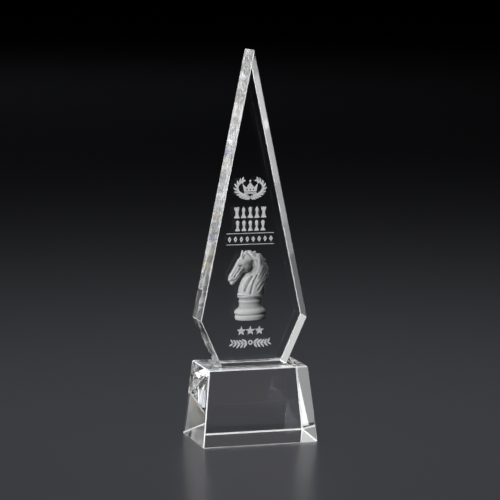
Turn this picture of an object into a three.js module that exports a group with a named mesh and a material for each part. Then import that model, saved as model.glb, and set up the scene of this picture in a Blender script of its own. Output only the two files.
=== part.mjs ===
// Crystal award: a five-sided crystal spire, bonded upright on a tapered crystal base.
// Millimetres, +Z up, +X to the right as the award is read, and the engraved front faces -Y.
// The origin is the centre of the base's underside.
// The sizes of both blocks are those of their sharp corners, before the arris is polished on.

import * as THREE from 'three';
import { ConvexGeometry } from 'three/addons/geometries/ConvexGeometry.js';

// base block
const baseHeight = 79;
const baseBottomWidth = 123;
const baseBottomDepth = 85;
const baseTopWidth = 106;
const baseTopDepth = 69;
const baseArris = 1.0;

// adhesive film between the spire's foot and the base
const filmThickness = 0.25;
const filmSetback = 1.5;
const filmCornerRadius = 2;

// spire
const spireHeight = 326.75;
const spireThickness = 35;
const footWidth = 70;
const shoulderWidth = 114;
const shoulderHeight = 48.5;
const spireArris = 0.7;

const filmBottom = baseHeight;
const spireBottom = filmBottom + filmThickness;

const crystalMaterial = (color) =>
  new THREE.MeshStandardMaterial({
    color,
    roughness: 0.03,
    metalness: 0,
    transparent: true,
    opacity: 0.4,
  });

// Draws a flat face in from its edges by a distance, and keeps it in its own plane.
function drawnInFace(corners, distance) {
  return corners.map((corner, index) => {
    const before = corners[(index + corners.length - 1) % corners.length];
    const after = corners[(index + 1) % corners.length];
    const arriving = corner.clone().sub(before).normalize();
    const leaving = after.clone().sub(corner).normalize();
    const turn = arriving.clone().cross(leaving).length();
    return corner.clone().addScaledVector(leaving.sub(arriving), distance / turn);
  });
}

// A block between two matching outlines with an arris on every edge: each face is drawn in by the
// arris, and the hull of the drawn-in faces is the block.
function arrisedBlock(firstOutline, secondOutline, arris) {
  const faces = [firstOutline, secondOutline];
  firstOutline.forEach((corner, index) => {
    const next = (index + 1) % firstOutline.length;
    faces.push([corner, firstOutline[next], secondOutline[next], secondOutline[index]]);
  });
  return new ConvexGeometry(faces.flatMap((face) => drawnInFace(face, arris)));
}

function levelRectangle(width, depth, level) {
  const cornerSigns = [[-1, -1], [1, -1], [1, 1], [-1, 1]];
  return cornerSigns.map(([x, y]) => new THREE.Vector3((x * width) / 2, (y * depth) / 2, level));
}

function crystalBase() {
  const underside = levelRectangle(baseBottomWidth, baseBottomDepth, 0);
  const top = levelRectangle(baseTopWidth, baseTopDepth, baseHeight);
  return new THREE.Mesh(arrisedBlock(underside, top, baseArris), crystalMaterial(0xdde3e8));
}

function adhesiveFilm() {
  const halfWidth = footWidth / 2 - filmSetback;
  const halfDepth = spireThickness / 2 - filmSetback;
  const flatX = halfWidth - filmCornerRadius;
  const flatY = halfDepth - filmCornerRadius;
  const outline = new THREE.Shape();
  outline.absarc(flatX, flatY, filmCornerRadius, 0, Math.PI / 2);
  outline.absarc(-flatX, flatY, filmCornerRadius, Math.PI / 2, Math.PI);
  outline.absarc(-flatX, -flatY, filmCornerRadius, Math.PI, 1.5 * Math.PI);
  outline.absarc(flatX, -flatY, filmCornerRadius, 1.5 * Math.PI, 2 * Math.PI);
  outline.closePath();
  const geometry = new THREE.ExtrudeGeometry(outline, {
    depth: filmThickness,
    bevelEnabled: false,
    curveSegments: 4,
  });
  const film = new THREE.Mesh(
    geometry,
    new THREE.MeshStandardMaterial({ color: 0xf2f4f2, roughness: 0.2, metalness: 0 }),
  );
  film.position.z = filmBottom;
  return film;
}

// The outline of the spire's front or back face, from the left foot round by the point.
function spireOutline(y) {
  const outline = [
    [-footWidth / 2, 0],
    [-shoulderWidth / 2, shoulderHeight],
    [0, spireHeight],
    [shoulderWidth / 2, shoulderHeight],
    [footWidth / 2, 0],
  ];
  return outline.map(([x, z]) => new THREE.Vector3(x, y, z));
}

function crystalSpire() {
  const front = spireOutline(-spireThickness / 2);
  const back = spireOutline(spireThickness / 2);
  const spire = new THREE.Mesh(arrisedBlock(front, back, spireArris), crystalMaterial(0xe6ebf0));
  spire.position.z = spireBottom;
  return spire;
}

const award = new THREE.Group();
const pieces = {
  crystal_base: crystalBase(),
  adhesive_film: adhesiveFilm(),
  crystal_spire: crystalSpire(),
};
for (const [name, piece] of Object.entries(pieces)) {
  piece.name = name;
  award.add(piece);
}

export default award;
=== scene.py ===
# Crystal award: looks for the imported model. Blender 4.5, metres, the same frame as the CAD.
import bmesh
import bpy
import math
from mathutils import Matrix, Vector


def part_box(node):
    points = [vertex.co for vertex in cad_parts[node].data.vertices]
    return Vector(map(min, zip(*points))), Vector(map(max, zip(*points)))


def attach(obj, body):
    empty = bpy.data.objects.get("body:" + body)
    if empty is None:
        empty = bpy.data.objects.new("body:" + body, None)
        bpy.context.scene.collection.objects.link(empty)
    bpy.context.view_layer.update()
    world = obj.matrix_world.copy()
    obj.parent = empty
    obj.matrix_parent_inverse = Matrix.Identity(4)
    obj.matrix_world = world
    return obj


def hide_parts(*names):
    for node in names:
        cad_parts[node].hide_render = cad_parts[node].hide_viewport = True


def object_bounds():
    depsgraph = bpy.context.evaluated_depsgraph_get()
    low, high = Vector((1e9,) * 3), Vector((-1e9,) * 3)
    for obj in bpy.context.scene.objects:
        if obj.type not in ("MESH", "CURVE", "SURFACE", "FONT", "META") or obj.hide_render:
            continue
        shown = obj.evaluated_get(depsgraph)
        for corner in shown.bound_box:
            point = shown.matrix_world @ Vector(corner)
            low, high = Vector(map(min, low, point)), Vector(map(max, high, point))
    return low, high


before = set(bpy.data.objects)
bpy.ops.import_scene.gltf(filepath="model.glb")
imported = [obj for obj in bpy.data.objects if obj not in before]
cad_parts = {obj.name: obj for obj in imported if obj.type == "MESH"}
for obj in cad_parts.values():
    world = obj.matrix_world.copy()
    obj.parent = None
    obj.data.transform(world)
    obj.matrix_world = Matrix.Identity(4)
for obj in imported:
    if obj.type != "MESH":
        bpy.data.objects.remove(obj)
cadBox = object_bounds()
scene = bpy.context.scene
print("frame loaded", sorted(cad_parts))

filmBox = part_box("adhesive_film")
awardHeight = cadBox[1].z


def addObject(name, data):
    added = bpy.data.objects.new(name, data)
    scene.collection.objects.link(added)
    return added


def place(piece, replaces=()):
    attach(piece, "root")
    if replaces:
        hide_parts(*replaces)
    return piece


def newMaterial(name):
    material = bpy.data.materials.new(name)
    material.use_nodes = True
    material.node_tree.nodes.clear()
    return material, material.node_tree


def fill(tree, socket, value):
    if isinstance(value, bpy.types.NodeSocket):
        tree.links.new(value, socket)
    else:
        socket.default_value = value


# Adds a node with each named socket set to a value or linked from another node's output.
def addNode(tree, kind, **sockets):
    node = tree.nodes.new(kind)
    for name, value in sockets.items():
        fill(tree, node.inputs[name.replace("_", " ")], value)
    return node


def calculated(tree, operation, *values):
    step = tree.nodes.new("ShaderNodeMath")
    step.operation = operation
    for socket, value in zip(step.inputs, values):
        fill(tree, socket, value)
    return step.outputs[0]


# The value stretched from one range to another.
def ranged(tree, value, fromLow, fromHigh, low, high):
    return addNode(
        tree, "ShaderNodeMapRange", Value=value, From_Min=fromLow, From_Max=fromHigh,
        To_Min=low, To_Max=high).outputs[0]


def noiseOf(tree, where, scale, detail=2, roughness=0.5):
    return addNode(
        tree, "ShaderNodeTexNoise", Vector=where, Scale=scale, Detail=detail,
        Roughness=roughness).outputs["Fac"]


def objectCoords(tree):
    return tree.nodes.new("ShaderNodeTexCoord").outputs["Object"]


def endMaterial(tree, surface):
    addNode(tree, "ShaderNodeOutputMaterial", Surface=surface.outputs[0])


def meshFrom(solid, name):
    mesh = bpy.data.meshes.new(name)
    solid.to_mesh(mesh)
    solid.free()
    return mesh


def directionTo(azimuth, elevation):
    azimuth = math.radians(azimuth)
    elevation = math.radians(elevation)
    return Vector((
        math.sin(azimuth) * math.cos(elevation), -math.cos(azimuth) * math.cos(elevation),
        math.sin(elevation)))


def turnAlong(piece, direction):
    piece.rotation_mode = "QUATERNION"
    piece.rotation_quaternion = direction.to_track_quat("-Z", "Y")


cameraView = {
    "azimuth": -16.02,       # degrees, to the left of straight on
    "elevation": 7.19,
    "distance": 2.412,
    "aimShare": 0.4879,      # of the award's height
    "aimSide": 0.0004,
    "lens": 167.5,
}


def makeCamera(view):
    back = directionTo(view["azimuth"], view["elevation"])
    aim = Vector((view["aimSide"], 0, view["aimShare"] * awardHeight))
    data = bpy.data.cameras.new("awardCamera")
    data.lens = view["lens"]
    data.clip_end = 200
    camera = addObject("awardCamera", data)
    camera.location = aim + back * view["distance"]
    turnAlong(camera, -back)
    scene.camera = camera


makeCamera(cameraView)
print("camera made")


studioFloor = {
    "radius": 60.0,
    "up": -0.0004,
    "color": (0.765, 0.775, 0.84),
    "roughness": 0.27,
    "gloss": 0.05,
}

frosted = bpy.data.collections.new("frosted")
ground = bpy.data.collections.new("ground")
lowGround = bpy.data.collections.new("lowGround")
streakFrom = 0.38     # the noise is dark below this and bright above the next
streakTo = 0.62
tintShare = 0.6       # the tint patches are coarser than the streaks
white = (1, 1, 1)
streaks = {
    "across": 14.0,
    "along": 9.0,
    "darkest": 0.1,
    "brightest": 2.4,
    "coolTint": (0.55, 0.68, 1.0),
    "warmTint": (1.0, 0.84, 0.48),
}
mirrorStreaks = {
    "across": 26.0,
    "along": 32.0,
    "darkest": 0.0,
    "brightest": 2.6,
    "coolTint": (0.42, 0.58, 1.0),
    "warmTint": (1.0, 0.8, 0.34),
}
# Each panel stands on a circle round the award: azimuth from and to (0 is straight in front,
# 90 is to the right), elevation from and to, radiance, colour, and whether it is streaky.
panelDistance = 1.7
panels = {
    "leftPanel": (-122, -104, 0.5, 13, 7.0, (0.95, 0.97, 1.0), True),
    "leftHighPanel": (-122, -104, 13, 28, 4.0, (1.0, 0.98, 0.93), True),
    "leftCornerPanel": (-135, -122, 12, 28, 9.0, (1.0, 0.99, 0.97), True),
    "backLeftLow": (-150, -138, 6, 12, 2.9, (0.94, 0.95, 1.0), True),
    "backLeftMiddle": (-150, -138, 12, 20, 4.2, (1.0, 1.0, 0.97), True),
    "backLeftHigh": (-165, -138, 28, 50, 9.3, white, True),
    "backPanelLow": (-165, -150, 0.5, 6, 0.42, white, False),
    "backPanelMiddle": (-165, -150, 6, 12, 0.66, (1.0, 1.0, 0.99), False),
    "backPanelHigh": (-165, -150, 12, 20, 0.85, (1.0, 1.0, 0.99), False),
    "backFarLow": (-176, -165, 0.5, 6, 0.4, white, False),
    "backFarMiddle": (-180, -165, 12, 24, 0.35, white, False),
    "backFarHigh": (-180, -165, 24, 30, 6.0, white, False),
    "frontGlow": (15, 30, 12, 28, 0.25, white, True),
    "frontLowPanel": (1, 10, 0.5, 11, 1.5, (1.0, 0.95, 0.9), True),
    "mirrorPanel": (-170, -146, 4.5, 16, 0.41, white, True),
    "underGlow": (146, 172, 10, 16, 0.078, (0.97, 0.94, 1.0), False),
    "frontLeftPanel": (-15, 0, 12, 28, 6.2, (1.0, 0.99, 0.97), True),
    "frontSidePanel": (-75, -45, 0.5, 12, 1.6, (0.97, 0.97, 1.0), True),
    "sidePanel": (-92, -76, 0.5, 13, 1.5, (1.0, 0.97, 0.9), True),
    "frontRightPanel": (30, 45, 12, 28, 2.8, (0.97, 0.985, 1.0), True),
    "rightPanel": (60, 90, 0.5, 12, 5.4, (1.0, 0.985, 0.95), True),
    "backRightPanel": (120, 136, 0.5, 13, 0.9, (0.93, 0.95, 1.0), False),
    "backGlow": (140, 178, 12, 32, 0.07, (0.95, 0.96, 1.0), False),
}
mirrored = ("mirrorPanel",)     # seen only in the crystal's outer faces, not through it
# Cards lie on the floor behind the award, and only what looks through the crystal sees them:
# azimuth from and to, nearest and furthest edge, radiance, colour.
cardUp = 0.002
cards = {
    "farthestCard": (-174, -160, 1.86, 2.4, 0.2, (1.0, 1.0, 0.98)),
    "farCard": (-174, -160, 1.3, 1.86, 0.46, (1.0, 1.0, 0.98)),
    "middleCard": (-174, -160, 1.0, 1.3, 0.36, white),
    "nearCard": (-174, -160, 0.8, 1.0, 0.27, white),
    "nearestCard": (-175, -162, 0.3, 0.8, 0.12, white),
    "baseCard": (140, 210, 0.06, 0.3, 0.013, (1.0, 0.93, 1.0)),
}
# Under the award lies a streaky sheet, which the spire's left side shows as flecks.
underSheet = {
    "up": -0.0002,
    "width": 0.114,
    "depth": 0.076,
    "radiance": 0.3,
    "across": 9.0,
    "along": 7.0,
    "darkest": 0.0,
    "brightest": 3.2,
    "coolTint": (0.78, 0.86, 1.0),
    "warmTint": (1.0, 0.94, 0.8),
}
# Narrow beams just behind the base, which only what mirrors in its right side looks into.
sideBeams = {
    "ray": (-0.27, 0.92, -0.28),
    "height": 0.09,
    "spread": 40.0,
    "beams": {      # stand, width, power
        "sideBeam": ((0.037, 0.056, 0.02), 0.09, 0.00036),
        "edgeBeam": ((0.0565, 0.056, 0.02), 0.013, 0.00016),
    },
}
# These light only the frosted surfaces: the ground arrises and the engraving.
frostLamps = {
    "frostKey": ((-1.08, -0.9, 0.75), 0.5, 26.0, frosted),
    "frostBack": ((0.5, 0.8, 1.3), 0.7, 9.0, frosted),
    "groundLow": ((-0.5, -1.3, 0.04), 0.3, 16.0, lowGround),
}
farWash = {
    "stand": (0, 6.5, 3.0),
    "size": 3.5,
    "power": 1.2,
    "color": (0.93, 0.95, 1.0),
}
overhead = {
    "height": 1.75,
    "size": 0.9,
    "power": 2.45,
    "color": (0.96, 0.97, 1.0),
}


def floorMaterial(values):
    material, tree = newMaterial("studioFloor")
    surface = addNode(
        tree, "ShaderNodeBsdfPrincipled", Base_Color=(*values["color"], 1),
        Roughness=values["roughness"], Specular_IOR_Level=values["gloss"])
    endMaterial(tree, surface)
    return material


def makeFloor(values):
    disc = bmesh.new()
    bmesh.ops.create_circle(disc, cap_ends=True, segments=96, radius=values["radius"])
    floor = addObject("studioFloor", meshFrom(disc, "studioFloor"))
    floor.data.materials.append(floorMaterial(values))
    floor.location.z = values["up"]


def makeLamp(name, stand, look, width, height, power, color):
    data = bpy.data.lights.new(name, "AREA")
    data.shape = "RECTANGLE"
    data.size = width
    data.size_y = height
    data.color = color
    data.energy = power
    lamp = addObject(name, data)
    lamp.location = stand
    turnAlong(lamp, Vector(look) - Vector(stand))
    lamp.visible_camera = False
    return lamp


def makeFrostLamp(name, stand, size, power, receivers):
    lamp = makeLamp(name, stand, (0, 0, awardHeight / 2), size, size, power, white)
    lamp.visible_glossy = False
    lamp.visible_transmission = False
    lamp.light_linking.receiver_collection = receivers


def makeFarWash(values):
    stand = values["stand"]
    lamp = makeLamp(
        "farWash", stand, (stand[0], stand[1], 0), values["size"], values["size"],
        values["power"], values["color"])
    lamp.visible_glossy = False
    lamp.visible_transmission = False


def tintRamp(tree, value, tints):
    ramp = addNode(tree, "ShaderNodeValToRGB", Fac=value)
    cool, warm = ramp.color_ramp.elements
    cool.position = 0.36
    cool.color = (*tints["coolTint"], 1)
    warm.position = 0.64
    warm.color = (*tints["warmTint"], 1)
    middle = ramp.color_ramp.elements.new(0.5)
    middle.color = (1, 1, 1, 1)
    return ramp.outputs[0]


def streakPanel(data, values):
    data.use_nodes = True
    tree = data.node_tree
    emission = tree.nodes["Emission"]
    geometry = tree.nodes.new("ShaderNodeNewGeometry")
    mapping = addNode(
        tree, "ShaderNodeMapping", Vector=geometry.outputs["Parametric"],
        Scale=(values["across"], values["along"], 1)).outputs[0]
    strength = ranged(
        tree, noiseOf(tree, mapping, 1, 3, 0.7), streakFrom, streakTo, values["darkest"],
        values["brightest"])
    fill(tree, emission.inputs["Strength"], strength)
    fill(tree, emission.inputs["Color"], tintRamp(tree, noiseOf(tree, mapping, tintShare), values))


def makePanel(name, azimuthFrom, azimuthTo, elevationFrom, elevationTo, radiance, color, streaky):
    azimuth = math.radians((azimuthFrom + azimuthTo) / 2)
    width = 2 * panelDistance * math.tan(math.radians(azimuthTo - azimuthFrom) / 2)
    low = panelDistance * math.tan(math.radians(elevationFrom))
    high = panelDistance * math.tan(math.radians(elevationTo))
    stand = Vector((
        panelDistance * math.sin(azimuth), -panelDistance * math.cos(azimuth), (low + high) / 2))
    look = Vector((0, 0, stand.z))
    power = radiance * math.pi * width * (high - low)
    lamp = makeLamp(name, stand, look, width, high - low, power, color)
    lamp.visible_diffuse = False     # only the crystal and the floor's gloss see it
    lamp.visible_transmission = name not in mirrored
    lamp.light_linking.receiver_collection = ground
    if streaky:
        streakPanel(lamp.data, mirrorStreaks if name in mirrored else streaks)


# A sheet lying flat, facing up, turned by an azimuth.
def makeSheet(name, stand, width, depth, turn, radiance, color):
    lamp = makeLamp(name, stand, stand, width, depth, radiance * math.pi * width * depth, color)
    lamp.rotation_mode = "XYZ"
    lamp.rotation_euler = (math.pi, 0, turn)
    lamp.visible_diffuse = False
    lamp.visible_glossy = False
    return lamp


def makeUnderSheet(values):
    sheet = makeSheet(
        "underSheet", (0, 0, values["up"]), values["width"], values["depth"], 0,
        values["radiance"], white)
    streakPanel(sheet.data, values)


def makeCard(name, azimuthFrom, azimuthTo, near, far, radiance, color):
    azimuth = math.radians((azimuthFrom + azimuthTo) / 2)
    reach = (near + far) / 2
    width = 2 * reach * math.tan(math.radians(azimuthTo - azimuthFrom) / 2)
    stand = (reach * math.sin(azimuth), -reach * math.cos(azimuth), cardUp)
    makeSheet(name, stand, width, far - near, azimuth, radiance, color)


def makeSideBeams(values):
    for name, (stand, width, power) in values["beams"].items():
        look = Vector(stand) - Vector(values["ray"])
        lamp = makeLamp(name, stand, look, width, values["height"], power, white)
        lamp.data.spread = math.radians(values["spread"])
        lamp.visible_diffuse = False
        lamp.visible_glossy = False


makeFloor(studioFloor)
makeSideBeams(sideBeams)
makeUnderSheet(underSheet)
makeFarWash(farWash)
makeLamp(
    "overheadLamp", (0, 0, overhead["height"]), (0, 0, 0), overhead["size"], overhead["size"],
    overhead["power"], overhead["color"])
for name, panel in panels.items():
    makePanel(name, *panel)
for name, card in cards.items():
    makeCard(name, *card)
for name, lamp in frostLamps.items():
    makeFrostLamp(name, *lamp)

# A soft dome overhead, which only the crystal sees. It stays dark where the flat faces look.
dome = {
    "brightness": 0.8,
    "rise": (0.17, 0.26),        # sine of the elevation where it starts and is full
    # azimuth, elevation, and the angles from there where it is still dark and where it is full
    "darkSpots": ((162, 12, 24, 34), (21, 20, 18, 28), (188, 19, 10, 16)),
    "streakScale": 15.0,
    "darkest": 0.06,
    "brightest": 2.3,
}


def makeDome(values):
    world = bpy.data.worlds.new("softDome")
    world.use_nodes = True
    tree = world.node_tree
    background = tree.nodes["Background"]
    where = tree.nodes.new("ShaderNodeTexCoord").outputs["Generated"]
    parts = addNode(tree, "ShaderNodeSeparateXYZ", Vector=where)
    strength = ranged(tree, parts.outputs["Z"], *values["rise"], 0, values["brightness"])
    for azimuth, elevation, dark, full in values["darkSpots"]:
        near = tree.nodes.new("ShaderNodeVectorMath")
        near.operation = "DOT_PRODUCT"
        near.inputs[1].default_value = directionTo(azimuth, elevation)
        fill(tree, near.inputs[0], where)
        away = ranged(
            tree, near.outputs["Value"], math.cos(math.radians(full)),
            math.cos(math.radians(dark)), 1, 0)
        strength = calculated(tree, "MULTIPLY", strength, away)
    streaky = ranged(
        tree, noiseOf(tree, where, values["streakScale"], 4, 0.7), streakFrom, streakTo,
        values["darkest"], values["brightest"])
    tint = noiseOf(tree, where, values["streakScale"] * tintShare)
    fill(tree, background.inputs["Color"], tintRamp(tree, tint, streaks))
    fill(tree, background.inputs["Strength"], calculated(tree, "MULTIPLY", strength, streaky))
    scene.world = world
    world.cycles_visibility.camera = False
    world.cycles_visibility.diffuse = False
    world.cycles_visibility.glossy = False


makeDome(dome)
scene.view_settings.view_transform = "Standard"
scene.cycles.max_bounces = 40
scene.cycles.glossy_bounces = 32
scene.cycles.transmission_bounces = 32
scene.cycles.transparent_max_bounces = 32
scene.cycles.caustics_reflective = False
scene.cycles.caustics_refractive = False
print("studio made")


crystal = {
    "ior": 1.52,
    "color": (0.985, 0.99, 1.0),
    "shadow": (0.9, 0.9, 0.9, 1),
    "flatWaves": ((220.0, 220.0, 70.0), 0.00001),    # what polishing leaves: scale, depth
    "sideWaves": ((420.0, 420.0, 110.0), 0.000014),
    "groundRoughness": (0.2, 0.4),    # the fine ground band on every arris
    "groundTint": (0.86, 0.87, 0.88),
    "groundClear": 0.35,
    "groundGrain": 2600.0,
    "widestArris": 0.002,
    "bondCloud": 300.0,    # the faces that the adhesive wets, clear with a faint cloud
    "bondDarkest": 0.97,
}


# Light passes through the crystal to what stands behind it.
def clearShadow(tree, surface):
    clear = addNode(tree, "ShaderNodeBsdfTransparent", Color=crystal["shadow"])
    rays = tree.nodes.new("ShaderNodeLightPath")
    mix = tree.nodes.new("ShaderNodeMixShader")
    for socket, value in zip(
            mix.inputs, (rays.outputs["Is Shadow Ray"], surface.outputs[0], clear.outputs[0])):
        fill(tree, socket, value)
    endMaterial(tree, mix)


def crystalMaterial(name, values, surface="flatWaves"):
    material, tree = newMaterial(name)
    scale, depth = values[surface]
    mapping = addNode(tree, "ShaderNodeMapping", Vector=objectCoords(tree), Scale=scale)
    waves = noiseOf(tree, mapping.outputs[0], 1, 1)
    bump = addNode(tree, "ShaderNodeBump", Strength=1, Distance=depth, Height=waves)
    glass = addNode(
        tree, "ShaderNodeBsdfPrincipled", Base_Color=(*values["color"], 1), Roughness=0,
        IOR=values["ior"], Transmission_Weight=1, Normal=bump.outputs[0])
    clearShadow(tree, glass)
    return material


def groundMaterial(name, values):
    material, tree = newMaterial(name)
    grain = noiseOf(tree, objectCoords(tree), values["groundGrain"])
    color = addNode(tree, "ShaderNodeValToRGB", Fac=grain)
    color.color_ramp.elements[0].color = (*values["groundTint"], 1)
    color.color_ramp.elements[1].color = (1, 1, 1, 1)
    rough = ranged(tree, grain, 0, 1, *values["groundRoughness"])
    surface = addNode(
        tree, "ShaderNodeBsdfPrincipled", Base_Color=color.outputs[0], Roughness=rough,
        IOR=values["ior"], Transmission_Weight=values["groundClear"])
    clearShadow(tree, surface)
    return material


def bondMaterial(values):
    material, tree = newMaterial("bondedFace")
    cloud = noiseOf(tree, objectCoords(tree), values["bondCloud"])
    tone = ranged(tree, cloud, 0, 1, values["bondDarkest"], 1)
    clear = addNode(tree, "ShaderNodeBsdfTransparent", Color=tone)
    endMaterial(tree, clear)
    return material


weld = 1e-6


def solidFromNode(node):
    mesh = bmesh.new()
    mesh.from_mesh(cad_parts[node].data)
    bmesh.ops.remove_doubles(mesh, verts=mesh.verts, dist=weld)
    bmesh.ops.dissolve_limit(
        mesh, angle_limit=math.radians(0.5), verts=mesh.verts, edges=mesh.edges)
    return mesh


def finishCrystal(solid, name, materials, replaces):
    mesh = meshFrom(solid, name)
    for material in materials:
        mesh.materials.append(material)
    piece = place(addObject(name, mesh), replaces)
    frosted.objects.link(piece)
    ground.objects.link(piece)
    return piece


def arrisFaces(mesh, widest):
    return [face for face in mesh.faces
            if face.calc_area() < widest * max(edge.calc_length() for edge in face.edges)]


bond = bondMaterial(crystal)
spireMesh = solidFromNode("crystal_spire")
for face in spireMesh.faces:
    if face.normal.z < -0.999:
        face.material_index = 1
    elif abs(face.normal.y) < 0.5:
        face.material_index = 3
for face in arrisFaces(spireMesh, crystal["widestArris"]):
    face.material_index = 2
spire = finishCrystal(
    spireMesh, "crystalSpire",
    [crystalMaterial("spireCrystal", crystal), bond, groundMaterial("spireArris", crystal),
     crystalMaterial("spireSides", crystal, "sideWaves")],
    ["crystal_spire"])

baseMesh = solidFromNode("crystal_base")
low, high = filmBox
for side, at in (((1, 0, 0), low), ((1, 0, 0), high), ((0, 1, 0), low), ((0, 1, 0), high)):
    topFaces = [f for f in baseMesh.faces if f.normal.z > 0.999]
    edges = {e for f in topFaces for e in f.edges}
    verts = {v for f in topFaces for v in f.verts}
    bmesh.ops.bisect_plane(
        baseMesh, geom=topFaces + list(edges) + list(verts), plane_co=at, plane_no=side)
for face in baseMesh.faces:
    middle = face.calc_center_median()
    inside = low.x < middle.x < high.x and low.y < middle.y < high.y
    face.material_index = 1 if face.normal.z > 0.999 and inside else 0
for face in arrisFaces(baseMesh, crystal["widestArris"]):
    face.material_index = 2
base = finishCrystal(
    baseMesh, "crystalBase",
    [crystalMaterial("baseCrystal", crystal), bond, groundMaterial("baseArris", crystal)],
    ["crystal_base"])
lowGround.objects.link(base)
print("crystal made", len(spire.data.polygons), len(base.data.polygons))

# The engraving stands inside the spire: a flat layout and a solid-looking chess knight. Every
# size and place in this part is in millimetres, across and up from the middle of the underside.
mm = 0.001
engraving = {
    "plane": 5.0,        # behind the middle of the spire
    "middle": -0.2,
    "thickness": 0.5,
}
frost = {
    "color": (0.9, 0.905, 0.91),
    "dotSize": 0.34,
    "dotEdge": (0.25, 0.7),      # shares of a dot's size where its fall-off starts and ends
    "gapCover": 0.72,     # how much the gaps between the laser's dots still cover
    "grain": (0.6, 0.00006),      # strength and depth
    "roughness": 0.85,
    "gloss": 0.1,
    "cloud": 420.0,
    "tones": (0.86, 1.1),
    # painted shade in the knight's and stand's hollows and painted highlight on their ridges, scaled
    # by the bend gain
    "creaseShade": 0.22,
    "ridgeHighlight": 0.2,
    "bendGain": 10,
    "roundTone": 0.77,      # the solid-looking part is etched a little thinner than the flat
}


def etchedMaterial(name, values, shaded=False):
    material, tree = newMaterial(name)
    where = objectCoords(tree)
    dots = addNode(
        tree, "ShaderNodeTexVoronoi", Vector=where,
        Scale=1 / (values["dotSize"] * mm)).outputs["Distance"]
    cover = ranged(tree, dots, *values["dotEdge"], 1, values["gapCover"])
    share = values["roundTone"] if shaded else 1
    low, high = values["tones"]
    tone = ranged(tree, noiseOf(tree, where, values["cloud"], 3), 0, 1, low * share, high * share)
    if shaded:
        # Painted shade and highlight: the rounded pieces' tone is darker in hollows, in shaded patches
        # and towards the right, and lighter on ridges.
        shadeAttribute = tree.nodes.new("ShaderNodeAttribute")
        shadeAttribute.attribute_name = "paintedShadeTone"
        tone = calculated(tree, "MULTIPLY", tone, shadeAttribute.outputs["Fac"])
    color = tree.nodes.new("ShaderNodeMix")
    color.data_type = "RGBA"
    color.blend_type = "MULTIPLY"
    color.inputs["Factor"].default_value = 1
    color.inputs["A"].default_value = (*values["color"], 1)
    fill(tree, color.inputs["B"], tone)
    strength, depth = values["grain"]
    bump = addNode(tree, "ShaderNodeBump", Strength=strength, Distance=depth, Height=dots)
    surface = addNode(
        tree, "ShaderNodeBsdfPrincipled", Base_Color=color.outputs["Result"],
        Roughness=values["roughness"], Specular_IOR_Level=values["gloss"], Alpha=cover,
        Normal=bump.outputs[0])
    endMaterial(tree, surface)
    return material


def bakedMesh(holder):
    bpy.context.view_layer.update()
    ready = holder.evaluated_get(bpy.context.evaluated_depsgraph_get())
    mesh = bpy.data.meshes.new_from_object(ready)
    bpy.data.objects.remove(holder)
    return mesh


def mergedMesh(mesh):
    tidy = bmesh.new()
    tidy.from_mesh(mesh)
    bmesh.ops.remove_doubles(tidy, verts=tidy.verts, dist=weld)
    bmesh.ops.recalc_face_normals(tidy, faces=tidy.faces)
    tidy.to_mesh(mesh)
    tidy.free()
    return mesh


def plate(outlines, thickness=engraving["thickness"]):
    curve = bpy.data.curves.new("outline", "CURVE")
    curve.dimensions = "2D"
    curve.fill_mode = "BOTH"
    curve.extrude = thickness * mm / 2
    for outline in outlines:
        spline = curve.splines.new("POLY")
        spline.points.add(len(outline) - 1)
        for point, (across, up) in zip(spline.points, outline):
            point.co = (across * mm, up * mm, 0, 1)
        spline.use_cyclic_u = True
    mesh = bakedMesh(addObject("outline", curve))
    mesh.transform(Matrix.Rotation(math.pi / 2, 4, "X"))
    return mergedMesh(mesh)


def finishFlat(name, mesh, up):
    finishEtched(name, mesh, etchedFlat, engraving["middle"], up)


def finishParts(name, parts, up):
    whole = bmesh.new()
    for mesh, across, partUp in parts:
        mesh.transform(Matrix.Translation((across * mm, 0, partUp * mm)))
        whole.from_mesh(mesh)
    finishFlat(name, meshFrom(whole, name), up)


def finishEtched(name, mesh, material, across=0, up=0):
    mesh.transform(Matrix.Translation((across * mm, engraving["plane"] * mm, up * mm)))
    mesh.materials.clear()
    mesh.materials.append(material)
    piece = place(addObject(name, mesh))
    frosted.objects.link(piece)
    return piece


def newTree(name, sockets):
    tree = bpy.data.node_groups.new(name, "GeometryNodeTree")
    for label, kind in sockets.items():
        tree.interface.new_socket(label, in_out="INPUT", socket_type="NodeSocket" + kind)
    tree.interface.new_socket("Copies", in_out="OUTPUT", socket_type="NodeSocketGeometry")
    return tree, tree.nodes.new("NodeGroupInput").outputs


def endTree(tree, entry, copies):
    real = addNode(tree, "GeometryNodeRealizeInstances", Geometry=copies.outputs[0])
    finish = addNode(
        tree, "GeometryNodeSetMaterial", Geometry=real.outputs[0], Material=entry["Finish"])
    addNode(tree, "NodeGroupOutput", Copies=finish.outputs[0])
    return tree


def runTree(holder, tree, values):
    modifier = holder.modifiers.new(tree.name, "NODES")
    modifier.node_group = tree
    for socket in tree.interface.items_tree:
        if socket.in_out == "INPUT" and socket.name in values:
            modifier[socket.identifier] = values[socket.name]
    return bakedMesh(holder)


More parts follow.
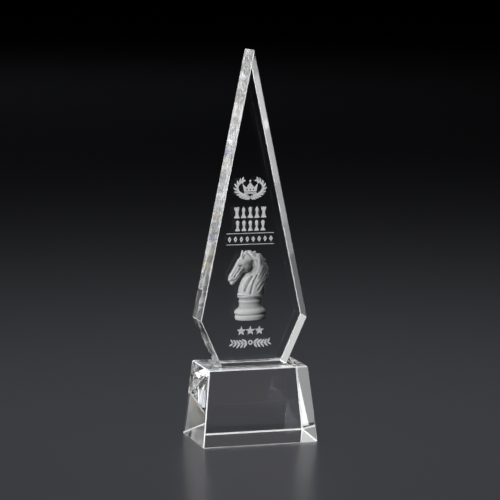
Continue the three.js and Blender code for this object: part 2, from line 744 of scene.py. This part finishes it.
def rowTree():
    tree, entry = newTree("etchedRow", {
        "Path": "Geometry", "Shape": "Object", "Count": "Int", "Follow": "Float",
        "Splay": "Float", "Last Size": "Float", "Finish": "Material"})
    points = addNode(
        tree, "GeometryNodeCurveToPoints", Curve=entry["Path"], Count=entry["Count"])
    along = addNode(tree, "ShaderNodeSeparateXYZ", Vector=points.outputs["Tangent"]).outputs
    heading = calculated(tree, "ARCTAN2", along["Z"], along["X"])
    heading = calculated(tree, "MULTIPLY", heading, entry["Follow"])
    heading = calculated(tree, "ADD", heading, entry["Splay"])
    turn = addNode(
        tree, "ShaderNodeCombineXYZ", Y=calculated(tree, "MULTIPLY", heading, -1))
    rotation = addNode(tree, "FunctionNodeEulerToRotation", Euler=turn.outputs[0])
    index = tree.nodes.new("GeometryNodeInputIndex").outputs[0]
    share = calculated(tree, "DIVIDE", index, calculated(tree, "SUBTRACT", entry["Count"], 1))
    change = calculated(tree, "SUBTRACT", entry["Last Size"], 1)
    change = calculated(tree, "MULTIPLY", share, change)
    shape = addNode(tree, "GeometryNodeObjectInfo", Object=entry["Shape"])
    copies = addNode(
        tree, "GeometryNodeInstanceOnPoints", Points=points.outputs["Points"],
        Instance=shape.outputs["Geometry"], Rotation=rotation.outputs[0],
        Scale=calculated(tree, "ADD", 1, change))
    return endTree(tree, entry, copies)


def smoothLine(stations, steps):
    line = []
    last = len(stations) - 1
    for number in range(last):
        around = [stations[max(0, min(last, number + offset))] for offset in (-1, 0, 1, 2)]
        for step in range(steps):
            share = step / steps
            line.append(tuple(
                0.5 * (2 * b + (c - a) * share + (2 * a - 5 * b + 4 * c - d) * share ** 2
                       + (3 * b - a - 3 * c + d) * share ** 3)
                for a, b, c, d in zip(*around)))
    line.append(tuple(stations[-1]))
    return line


def etchedRow(path, shape, count, follow=0.0, splay=0.0, lastSize=1.0):
    curve = bpy.data.curves.new("path", "CURVE")
    curve.dimensions = "3D"
    spline = curve.splines.new("POLY")
    spline.points.add(len(path) - 1)
    for point, (across, up) in zip(spline.points, path):
        point.co = (across * mm, 0, up * mm, 1)
    holder = addObject("path", curve)
    source = addObject("shape", shape)
    mesh = runTree(holder, etchedRowTree, {
        "Shape": source, "Count": count, "Follow": follow, "Splay": math.radians(splay),
        "Last Size": lastSize, "Finish": etchedFlat,
    })
    bpy.data.objects.remove(source)
    return mesh


def finishLevelRow(name, shape, count, width, up):
    row = etchedRow([(-width / 2, 0), (width / 2, 0)], shape, count)
    finishFlat(name, row, up)


def mirroredOutline(half, slim=1.0):
    right = [(across * slim, up) for across, up in half]
    return right + [(-across, up) for across, up in reversed(right) if across > 0]


def arc(across, up, radius, fromAngle, toAngle, steps=10):
    angles = [math.radians(fromAngle + (toAngle - fromAngle) * n / steps) for n in range(steps + 1)]
    return [(across + radius * math.cos(a), up + radius * math.sin(a)) for a in angles]


etchedRowTree = rowTree()
etchedFlat = etchedMaterial("etchedFlat", frost)

wreath = {
    "height": 262.9,
    "halfWidth": 14.4,
    "halfHeight": 9.6,
    "opening": 27.0,      # degrees either side of the top
    "leaves": 10,
    "leafLength": 5.6,
    "leafWidth": 2.3,
    "lastLeaf": 0.8,      # size of the last leaf to the first
    "outwards": 34.0,
    "inwards": 30.0,
    "stem": 0.8,
    "ribbon": [(-3.2, -2.4), (-2.0, -3.0), (3.2, 1.6), (2.2, 2.4)],
}


def leafRows(values, path, splays):
    length = values["leafLength"]
    wide = values["leafWidth"] / 2
    blade = [(length * n / 8, wide * math.sin(math.pi * (n / 8) ** 0.8)) for n in range(9)]
    blade += [(across, -up) for across, up in reversed(blade[1:-1])]
    return [
        (etchedRow(path, plate([blade]), values["leaves"], 1.0, splay, values["lastLeaf"]), 0, 0)
        for splay in splays]


def ellipsePoint(values, angle, grow=0.0):
    return ((values["halfWidth"] + grow) * math.cos(angle),
            (values["halfHeight"] + grow) * math.sin(angle))


def makeWreath(values):
    parts = []
    for side in (-1, 1):
        bottom = math.radians(-90 + side * 5)
        top = math.radians(-90 + side * (180 - values["opening"]))
        angles = [bottom + (top - bottom) * n / 40 for n in range(41)]
        path = [ellipsePoint(values, angle) for angle in angles]
        splays = (-side * values["outwards"], side * values["inwards"])
        parts += leafRows(values, path[:-3], splays)
        outer = [ellipsePoint(values, angle, values["stem"] / 2) for angle in angles]
        inner = [ellipsePoint(values, angle, -values["stem"] / 2) for angle in angles]
        parts.append((plate([outer + inner[::-1]]), 0, 0))
    for side in (1, -1):
        ribbon = [(side * across, up) for across, up in values["ribbon"]]
        parts.append((plate([ribbon]), 0, -values["halfHeight"]))
    finishParts("engravedWreath", parts, values["height"])


crown = {
    "height": 262.6,
    "halfWidth": 6.6,
    "foot": -3.6,
    "band": (-5.9, -4.4),
    "points": ((8.2, 4.6), (4.1, 0.6), (0.0, 6.2)),
    "jewels": ((-3.4, -1.6), (0, -1.6), (3.4, -1.6)),
    "jewelRadius": 0.75,
    "beads": ((8.6, 5.9), (0, 7.6), (-8.6, 5.9)),
    "beadRadius": 1.15,
}


def makeCrown(values):
    half = [(values["halfWidth"], values["foot"]), *values["points"]]
    jewels = [arc(*spot, values["jewelRadius"], 0, 330, 11) for spot in values["jewels"]]
    band = [(values["halfWidth"], up) for up in values["band"]]
    parts = [
        (plate([mirroredOutline(half), *jewels]), 0, 0),
        (plate([mirroredOutline(band)]), 0, 0),
    ]
    for across, up in values["beads"]:
        parts.append((plate([arc(0, 0, values["beadRadius"], 0, 345, 23)]), across, up))
    finishParts("engravedCrown", parts, values["height"])


# Half outlines of the chessmen, across and up from the middle of their feet.
chessmen = {
    "rook": [(3.3, 0), (3.3, 1.1), (2.7, 1.6), (2.5, 2.3), (1.8, 3.3), (1.7, 7.2), (2.4, 8.0),
             (2.8, 8.4), (2.8, 11.5), (1.8, 11.5), (1.8, 10.3), (0.8, 10.3), (0.8, 11.5)],
    "bishop": [(3.2, 0), (3.2, 1.1), (2.6, 1.6), (2.4, 2.3), (1.5, 3.4), (1.2, 6.2), (2.2, 6.6),
               (2.2, 7.1), (1.4, 7.3), (2.1, 8.6), (1.7, 9.9), (0.7, 10.8), (0.7, 11.5)],
    "queen": [(3.5, 0), (3.5, 1.1), (2.8, 1.6), (2.6, 2.3), (1.6, 3.4), (1.2, 6.8), (2.2, 7.2),
              (2.2, 7.7), (1.5, 8.0), (2.9, 11.1), (1.4, 9.9), (0.7, 11.7)],
    "pawn": [(2.9, 0), (2.9, 1.1), (2.3, 1.6), (2.1, 2.2), (1.3, 3.3), (1.0, 5.6), (2.0, 6.0),
             (2.0, 6.6), *arc(0, 8.7, 2.2, -58, 84, 9)],
}
chessRows = {
    "officers": ("rook", "bishop", "queen", "bishop", "rook"),
    "officersUp": 231.6,
    "officersStep": 7.2,
    "pawns": 5,
    "slim": 0.86,
    "pawnsUp": 218.2,
    "pawnsWidth": 27.2,
}


def makeChessRows(values):
    parts = []
    middle = (len(values["officers"]) - 1) / 2
    for number, name in enumerate(values["officers"]):
        officer = plate([mirroredOutline(chessmen[name], values["slim"])])
        parts.append((officer, (number - middle) * values["officersStep"], 0))
    finishParts("engravedOfficers", parts, values["officersUp"])
    pawn = plate([mirroredOutline(chessmen["pawn"], values["slim"])])
    finishLevelRow(
        "engravedPawns", pawn, values["pawns"], values["pawnsWidth"], values["pawnsUp"])


ruledBand = {
    "ruleUps": (215.65, 204.15),
    "ruleWidth": 51.4,
    "ruleThickness": 0.62,
    "rulePoint": 0.8,
    "lozenges": 8,
    "lozengeUp": 209.6,
    "lozengeWidth": 3.9,
    "lozengeHeight": 6.6,
    "lozengeHole": 0.3,
    "rowWidth": 44.6,
}


def makeRuledBand(values):
    half = values["ruleWidth"] / 2
    thick = values["ruleThickness"] / 2
    inner = half - values["rulePoint"]
    rule = [(half, 0), (inner, thick), (-inner, thick), (-half, 0), (-inner, -thick),
            (inner, -thick)]
    rules = [(plate([rule]), 0, up) for up in values["ruleUps"]]
    finishParts("engravedRules", rules, 0)
    wide = values["lozengeWidth"] / 2
    high = values["lozengeHeight"] / 2
    hole = values["lozengeHole"]
    lozenge = plate([
        [(wide, 0), (0, high), (-wide, 0), (0, -high)],
        [(wide * hole, 0), (0, -high * hole), (-wide * hole, 0), (0, high * hole)],
    ])
    finishLevelRow(
        "engravedLozenges", lozenge, values["lozenges"], values["rowWidth"], values["lozengeUp"])


starRow = {
    "count": 3,
    "up": 113.6,
    "radius": 5.2,
    "waist": 0.45,
    "width": 19.6,
}
sprigs = {
    "up": 101.4,
    "from": 3.6,
    "length": 15.0,
    "sag": -1.2,
    "leaves": 5,
    "leafLength": 7.0,
    "leafWidth": 2.5,
    "lastLeaf": 0.75,
    "splay": 46.0,
    "stem": 0.7,
    "buttonRadius": 2.6,
    "buttonHole": 0.45,
}


def makeStars(values):
    corners = []
    for number in range(10):
        angle = math.radians(90 + 36 * number)
        reach = values["radius"] * (values["waist"] if number % 2 else 1)
        corners.append((reach * math.cos(angle), reach * math.sin(angle)))
    finishLevelRow(
        "engravedStars", plate([corners]), values["count"], values["width"], values["up"])


def makeSprigs(values):
    parts = []
    for side in (-1, 1):
        path = [(side * (values["from"] + values["length"] * n / 12),
                 values["sag"] * math.sin(0.9 * math.pi * n / 12)) for n in range(13)]
        parts += leafRows(values, path, (-values["splay"], values["splay"]))
        thick = values["stem"] / 2
        stem = [(across, up + thick) for across, up in path]
        stem += [(across, up - thick) for across, up in reversed(path)]
        parts.append((plate([stem]), 0, 0))
    parts.append((plate([
        arc(0, 0, values["buttonRadius"], 0, 345, 23),
        arc(0, 0, values["buttonRadius"] * values["buttonHole"], 0, 330, 11)]), 0, 0))
    finishParts("engravedSprigs", parts, values["up"])


makeWreath(wreath)
makeCrown(crown)
makeChessRows(chessRows)
makeRuledBand(ruledBand)
makeStars(starRow)
makeSprigs(sprigs)
print("flat engraving made")


# The knight faces left. Stations run along each form: across, up, half width seen from the front,
# half depth. They are smoothed, swept into closed bodies and fused, then carved.
knight = {
    "voxel": 0.42,
    "smoothing": (0.5, 2),      # factor and rounds
    # painted shade patches on the cheek and between the mane's locks: across, up, radius, tone
    "paintedShadePatches": [
        (-2.2, 180.6, 7.4, 0.36), (-9.2, 176.2, 4.6, 0.5), (-12.4, 182.8, 2.4, 0.5),
        (12.6, 184.0, 4.6, 0.72), (13.0, 177.0, 5.4, 0.66), (12.4, 169.6, 6.0, 0.62),
        (11.2, 162.0, 6.0, 0.62), (11.0, 155.0, 5.0, 0.66)],
    "rightwardShade": (4.0, 18.0, 0.55),      # painted shade: darker towards the right from here to there across, down to this share
    "head": [
        (1.5, 189.0, 5.2, 4.6), (-3.6, 187.6, 7.6, 5.6), (-8.6, 182.4, 7.7, 6.0),
        (-12.6, 177.7, 6.1, 5.2), (-16.2, 173.3, 5.1, 4.4), (-19.2, 169.1, 4.9, 4.2),
        (-20.9, 166.0, 3.7, 3.4)],
    "neck": [
        (0.9, 150.6, 13.6, 10.2), (1.2, 156.0, 14.2, 10.0), (2.4, 162.0, 13.2, 9.2),
        (4.8, 168.0, 11.4, 8.2), (7.4, 174.0, 9.6, 7.4), (8.6, 180.0, 8.0, 6.8),
        (7.0, 186.0, 7.4, 6.2), (2.0, 189.8, 6.0, 5.2), (-3.0, 190.4, 4.6, 4.2)],
    "ears": [
        [(-9.4, 188.2, 2.6, 1.8, -3.0), (-9.2, 191.8, 2.3, 1.5, -3.6),
         (-9.7, 195.6, 0.6, 0.5, -3.8)],
        [(-7.6, 188.6, 2.6, 1.8, 3.2), (-7.6, 193.4, 2.3, 1.5, 4.0),
         (-8.3, 197.9, 0.6, 0.5, 4.2)]],
    "forelock": [
        (-3.0, 194.0, 1.9, 2.2), (-6.5, 193.0, 2.0, 2.4), (-10.2, 189.4, 1.7, 2.1),
        (-12.9, 186.0, 0.7, 0.9)],
    "tufts": [
        [(-4.6, 190.0, 1.8, 2.0), (-5.6, 194.6, 1.7, 1.8), (-4.4, 197.4, 1.0, 0.8)],
        [(-1.2, 190.6, 1.9, 2.2), (-1.8, 195.0, 1.8, 1.9), (0.4, 197.6, 1.0, 0.8)],
        [(2.4, 190.0, 1.9, 2.4), (3.0, 194.2, 1.8, 2.0), (5.6, 196.4, 1.0, 0.8)],
        [(6.4, 188.6, 1.9, 2.4), (8.2, 191.8, 1.8, 2.0), (11.2, 193.4, 1.0, 0.8)],
        [(10.6, 184.6, 1.9, 2.4), (13.2, 186.8, 1.8, 2.0), (16.2, 187.6, 1.0, 0.8)],
        [(13.4, 175.6, 1.9, 2.4), (16.4, 177.6, 1.8, 2.0), (19.2, 177.6, 1.0, 0.8)]],
    "cheek": (-4.6, 180.6, 5.6, 7.4),
    "brow": (-11.2, 184.6, 2.3, 5.3),
    "eyeball": (-11.7, 183.5, 1.2, 5.5),
    "nostril": (-20.4, 169.2, 2.0, 4.6),
    "lip": (-19.9, 164.9, 2.5, 3.5),
    "crest": [
        (-3.6, 195.2), (0.2, 195.6), (5.2, 194.0), (10.1, 190.8), (14.2, 186.2), (16.4, 180.6),
        (18.0, 173.8), (17.4, 166.4), (16.4, 159.0), (15.4, 152.6)],
    "maneEdge": [
        (-3.0, 189.0), (2.5, 189.6), (6.4, 187.4), (8.2, 183.8), (6.6, 179.4), (5.6, 174.3),
        (4.2, 169.4), (3.9, 164.4), (4.8, 159.4), (5.6, 153.6)],
    "locks": 11,
    "lockFall": 0.16,
    "lockProfile": (      # share of the way across, half width, half depth, share outwards
        (-0.13, 0.8, 0.9, 0.1), (0.16, 1.7, 1.6, 0.5), (0.46, 2.0, 1.9, 0.8),
        (0.76, 1.6, 1.5, 0.94), (1.08, 0.4, 0.5, 1.0)),
    "lockSlim": 1.5 / 1.75,
    "lockSwing": 1.3,
    "lockTurn": 1.9,      # radians from one lock's swing to the next
    "lockVariety": 0.12,
    "neckDepth": (5.4, 10.4),
    "carvings": [      # points, width, depth, which is below nought for a ridge
        ([(-22.9, 166.3), (-20.2, 166.9), (-17.2, 167.6)], 0.7, 1.5),
        ([(-21.2, 168.5), (-20.2, 169.5), (-19.6, 168.7)], 0.6, 1.5),
        ([(-13.4, 182.6), (-11.8, 181.9), (-10.0, 183.0)], 0.7, 1.0),
        ([(-15.6, 180.4), (-17.6, 176.6), (-20.4, 172.4)], 0.9, 0.9),
        ([(-12.2, 179.6), (-14.6, 175.6), (-17.4, 171.2)], 1.1, 1.2),
        ([(1.9, 186.6), (2.4, 181.6), (0.4, 176.4), (-3.6, 173.2), (-7.4, 171.8)], 1.3, 1.5),
        ([(0.4, 170.6), (-2.8, 165.8), (-5.8, 160.6), (-7.4, 156.6)], 1.4, 1.7),
        ([(5.6, 172.0), (1.6, 164.0), (-0.6, 157.0), (-1.6, 153.6)], 1.1, 1.0),
        ([(-9.4, 166.4), (-11.0, 161.0), (-11.4, 155.0)], 0.9, 0.8),
        ([(-7.9, 190.4), (-8.8, 192.6), (-9.3, 194.6)], 0.7, 0.9),
        ([(-13.2, 186.6), (-16.4, 181.9), (-19.6, 176.6), (-22.2, 171.6)], 1.0, -0.7),
        ([(-9.2, 180.0), (-12.2, 176.8), (-15.4, 172.6)], 1.1, -0.8),
        ([(-2.2, 172.2), (-7.0, 166.4), (-9.6, 161.4), (-10.4, 154.4)], 1.6, -0.8)],
}
stand = {
    "depthShare": 0.68,
    "middle": -0.4,
    "profile": [      # half width, up
        (13.4, 153.2), (13.9, 152.9), (14.1, 152.2), (13.9, 151.5), (13.1, 151.1), (13.1, 150.8),
        (13.6, 150.4), (13.7, 149.8), (13.4, 149.2), (12.2, 148.6), (11.8, 147.4), (11.8, 145.9),
        (12.3, 145.4), (12.5, 144.7), (12.3, 144.0), (11.7, 143.5), (11.7, 141.2), (12.1, 139.4),
        (13.2, 137.9), (15.2, 136.7), (16.5, 135.6), (17.1, 134.2), (17.1, 132.8), (16.4, 131.5),
        (15.7, 131.1), (15.7, 130.7), (16.4, 130.3), (16.7, 129.0), (16.6, 127.4), (16.1, 126.7),
        (16.1, 126.4), (16.0, 125.7), (15.2, 125.1), (13.6, 124.9)],
    "sides": 72,
    # painted shade: darker towards the right from here to there across, down to this share
    "rightwardShade": (2.0, 19.0, 0.6),
}
# Stray dots of the laser over the knight, as a cloud on its surface.
strayDots = {
    "perSquareMetre": 1.2e6,
    "radius": 0.11,
    "drift": 0.7,
    "seed": 4,
}


def dotTree():
    tree, entry = newTree("strayDots", {
        "Surface": "Geometry", "Density": "Float", "Seed": "Int", "Radius": "Float",
        "Drift": "Float", "Finish": "Material"})
    points = addNode(
        tree, "GeometryNodeDistributePointsOnFaces", Mesh=entry["Surface"],
        Density=entry["Density"], Seed=entry["Seed"])
    away = addNode(tree, "FunctionNodeRandomValue", Max=entry["Drift"], Seed=entry["Seed"])
    outwards = tree.nodes.new("ShaderNodeVectorMath")
    outwards.operation = "SCALE"
    fill(tree, outwards.inputs[0], points.outputs["Normal"])
    fill(tree, outwards.inputs["Scale"], away.outputs["Value"])
    moved = addNode(
        tree, "GeometryNodeSetPosition", Geometry=points.outputs["Points"],
        Offset=outwards.outputs[0])
    dot = addNode(
        tree, "GeometryNodeMeshUVSphere", Segments=4, Rings=2, Radius=entry["Radius"])
    copies = addNode(
        tree, "GeometryNodeInstanceOnPoints", Points=moved.outputs[0],
        Instance=dot.outputs["Mesh"])
    return endTree(tree, entry, copies)


def makeDots(surface, values):
    mesh = runTree(addObject("strayDots", surface.copy()), dotTree(), {
        "Density": values["perSquareMetre"], "Seed": values["seed"],
        "Radius": values["radius"] * mm, "Drift": values["drift"] * mm, "Finish": etchedFlat,
    })
    print("dots", len(mesh.polygons))
    finishEtched("engravedDots", mesh, etchedFlat)


roundEnd = 0.6     # how far a swept form's tips stand out, as a share of its last half width


def joinRings(solid, rings):
    sides = len(rings[0])
    for first, second in zip(rings, rings[1:]):
        for side in range(sides):
            after = (side + 1) % sides
            solid.faces.new((first[side], first[after], second[after], second[side]))


def sweptBody(solid, stations, sides=18):
    rings = []
    last = len(stations) - 1
    for number, station in enumerate(stations):
        across, up, wide, deep, behind = (*station, 0)[:5]
        before = stations[max(0, number - 1)]
        after = stations[min(last, number + 1)]
        run = Vector((after[0] - before[0], after[1] - before[1])).normalized()
        ring = []
        for side in range(sides):
            angle = math.tau * side / sides
            out = wide * math.cos(angle)
            ring.append(solid.verts.new((
                across - run.y * out, behind + deep * math.sin(angle), up + run.x * out)))
        rings.append((ring, run, station, behind))
    joinRings(solid, [ring for ring, *_ in rings])
    for number, way in ((0, -1), (last, 1)):
        ring, run, station, behind = rings[number]
        reach = way * min(station[2], station[3]) * roundEnd
        pole = solid.verts.new((
            station[0] + run.x * reach, behind, station[1] + run.y * reach))
        for side in range(sides):
            solid.faces.new((ring[side], ring[(side + 1) % sides], pole))


def ellipsoid(solid, across, up, radius, deep):
    made = bmesh.ops.create_uvsphere(solid, u_segments=16, v_segments=10, radius=1)
    for vert in made["verts"]:
        vert.co = Vector((across + vert.co.x * radius, vert.co.y * deep, up + vert.co.z * radius))


def alongLine(line, share):
    spot = share * (len(line) - 1)
    number = min(int(spot), len(line) - 2)
    step = spot - number
    return tuple(a + (b - a) * step for a, b in zip(line[number], line[number + 1]))


def maneLocks(solid, values):
    crest = smoothLine(values["crest"], 6)
    edge = smoothLine(values["maneEdge"], 6)
    count = values["locks"]
    fall = values["lockFall"]
    low, high = values["neckDepth"]
    for side in (-1, 1):
        for number in range(count):
            start = number / count * (1 - fall)
            thick = 1 + values["lockVariety"] * math.sin(number * 2.3)
            lock = []
            for reach, wide, deep, out in values["lockProfile"]:
                outer = alongLine(crest, max(0, min(1, start + fall * reach)))
                inner = alongLine(edge, min(1, start + fall * (0.4 + reach)))
                swing = math.sin(math.tau * reach + values["lockTurn"] * number)
                across = outer[0] + (inner[0] - outer[0]) * reach
                up = outer[1] + (inner[1] - outer[1]) * reach + values["lockSwing"] * swing
                lock.append((
                    across, up, wide * thick * values["lockSlim"], deep * thick,
                    side * out * (low + (high - low) * start)))
            sweptBody(solid, smoothLine(lock, 5), 10)


def nearness(points, across, up):
    best = 1e9
    for (x0, z0), (x1, z1) in zip(points, points[1:]):
        dx = x1 - x0
        dz = z1 - z0
        share = max(0, min(1, ((across - x0) * dx + (up - z0) * dz) / (dx * dx + dz * dz)))
        best = min(best, math.hypot(across - x0 - dx * share, up - z0 - dz * share))
    return best


def carve(solid, points, width, depth):
    line = smoothLine(points, 4)
    low = min(across for across, up in line) - 3 * width
    high = max(across for across, up in line) + 3 * width
    bottom = min(up for across, up in line) - 3 * width
    top = max(up for across, up in line) + 3 * width
    moves = []
    for vert in solid.verts:
        if not (low < vert.co.x < high and bottom < vert.co.z < top):
            continue
        gap = nearness(line, vert.co.x, vert.co.z)
        if gap < 2.5 * width:
            share = math.exp(-(gap / width) ** 2) * abs(vert.normal.y)
            moves.append((vert, vert.normal * depth * share))
    for vert, move in moves:
        vert.co -= move


# Paints shade into the etched tone of the knight and stand: darker in hollows, in the listed patches
# and towards the right, lighter on ridges.
def paintedShadeTone(mesh, patches, rightwardShade):
    mesh.update()
    solid = bmesh.new()
    solid.from_mesh(mesh)
    solid.normal_update()
    hollow = []
    for vert in solid.verts:
        bend = 0
        for edge in vert.link_edges:
            away = edge.other_vert(vert).co - vert.co
            bend += away.normalized().dot(vert.normal)
        hollow.append(bend / max(1, len(vert.link_edges)))
    solid.verts.index_update()
    for _ in range(3):
        hollow = [
            (hollow[vert.index] + sum(hollow[edge.other_vert(vert).index] for edge in vert.link_edges))
            / (1 + len(vert.link_edges)) for vert in solid.verts]
    solid.free()
    tone = mesh.attributes.new("paintedShadeTone", "FLOAT", "POINT")
    for number, bend in enumerate(hollow):
        share = max(-1, min(1, bend * frost["bendGain"]))
        shadedTone = 1 - (1 - frost["creaseShade"]) * max(0, share)
        shadedTone += frost["ridgeHighlight"] * max(0, -share)
        across, behind, up = mesh.vertices[number].co
        for middle, height, radius, patchTone in patches:
            gap = math.hypot(across - middle, up - height) / radius
            shadedTone *= 1 - (1 - patchTone) * math.exp(-gap ** 4)
        far = max(0, min(1, (across - rightwardShade[0]) / (rightwardShade[1] - rightwardShade[0])))
        tone.data[number].value = shadedTone * (1 - (1 - rightwardShade[2]) * far * far * (3 - 2 * far))


def fusedMesh(solid, values):
    bmesh.ops.recalc_face_normals(solid, faces=solid.faces)
    holder = addObject("fused", meshFrom(solid, "fused"))
    remesh = holder.modifiers.new("remesh", "REMESH")
    remesh.mode = "VOXEL"
    remesh.voxel_size = values["voxel"]
    smooth = holder.modifiers.new("smooth", "SMOOTH")
    smooth.factor, smooth.iterations = values["smoothing"]
    return bakedMesh(holder)


def makeKnight(values):
    solid = bmesh.new()
    sweptBody(solid, smoothLine(values["head"], 4))
    sweptBody(solid, smoothLine(values["neck"], 4), 24)
    sweptBody(solid, smoothLine(values["forelock"], 4), 12)
    for lock in values["ears"] + values["tufts"]:
        sweptBody(solid, smoothLine(lock, 4), 12)
    for bump in ("cheek", "brow", "eyeball", "nostril", "lip"):
        ellipsoid(solid, *values[bump])
    maneLocks(solid, values)
    mesh = fusedMesh(solid, values)
    carved = bmesh.new()
    carved.from_mesh(mesh)
    for points, width, depth in values["carvings"]:
        carved.normal_update()
        carve(carved, points, width, depth)
    carved.to_mesh(mesh)
    carved.free()
    paintedShadeTone(mesh, values["paintedShadePatches"], values["rightwardShade"])
    mesh.transform(Matrix.Scale(mm, 4))
    mesh.shade_smooth()
    makeDots(mesh, strayDots)
    finishEtched("engravedKnight", mesh, etchedRound)
    print("knight", len(mesh.polygons))


def makeStand(values):
    solid = bmesh.new()
    rings = []
    for wide, up in values["profile"]:
        ring = []
        for side in range(values["sides"]):
            angle = math.tau * side / values["sides"]
            ring.append(solid.verts.new((
                values["middle"] + wide * math.cos(angle),
                wide * values["depthShare"] * math.sin(angle), up)))
        rings.append(ring)
    joinRings(solid, rings)
    solid.faces.new(rings[0][::-1])
    solid.faces.new(rings[-1])
    bmesh.ops.recalc_face_normals(solid, faces=solid.faces)
    holder = addObject("stand", meshFrom(solid, "stand"))
    rounding = holder.modifiers.new("rounding", "SUBSURF")
    rounding.levels = 1
    rounding.render_levels = 1
    mesh = bakedMesh(holder)
    paintedShadeTone(mesh, (), values["rightwardShade"])
    mesh.transform(Matrix.Scale(mm, 4))
    mesh.shade_smooth()
    finishEtched("engravedStand", mesh, etchedRound)


etchedRound = etchedMaterial("etchedRound", frost, shaded=True)
makeKnight(knight)
makeStand(stand)
print("knight made")

adhesive = {
    "color": (0.96, 0.97, 0.98),
    "roughness": 0.3,
    "cloud": 140.0,
    "gap": 0.00002,        # kept clear of the crystal above and below
    "haze": (0.03, 0.1),
    "bubbleScale": 900.0,
    "bubbleSize": 0.16,
    "bubbleHaze": 0.3,
}


def adhesiveMaterial(values):
    material, tree = newMaterial("clearAdhesive")
    where = objectCoords(tree)
    haze = ranged(tree, noiseOf(tree, where, values["cloud"], 3), 0, 1, *values["haze"])
    bubbles = addNode(
        tree, "ShaderNodeTexVoronoi", Vector=where, Scale=values["bubbleScale"])
    inside = ranged(
        tree, bubbles.outputs["Distance"], values["bubbleSize"], values["bubbleSize"] / 2, 0,
        values["bubbleHaze"])
    surface = addNode(
        tree, "ShaderNodeBsdfPrincipled", Base_Color=(*values["color"], 1),
        Roughness=values["roughness"], Specular_IOR_Level=0,
        Alpha=calculated(tree, "MAXIMUM", haze, inside))
    endMaterial(tree, surface)
    return material


def makeFilm(values):
    solid = solidFromNode("adhesive_film")
    low, high = filmBox
    for vert in solid.verts:
        vert.co.z += values["gap"] if vert.co.z < (low.z + high.z) / 2 else -values["gap"]
    mesh = meshFrom(solid, "clearAdhesive")
    mesh.materials.append(adhesiveMaterial(values))
    place(addObject("clearAdhesive", mesh), ["adhesive_film"])


makeFilm(adhesive)
print("film made")
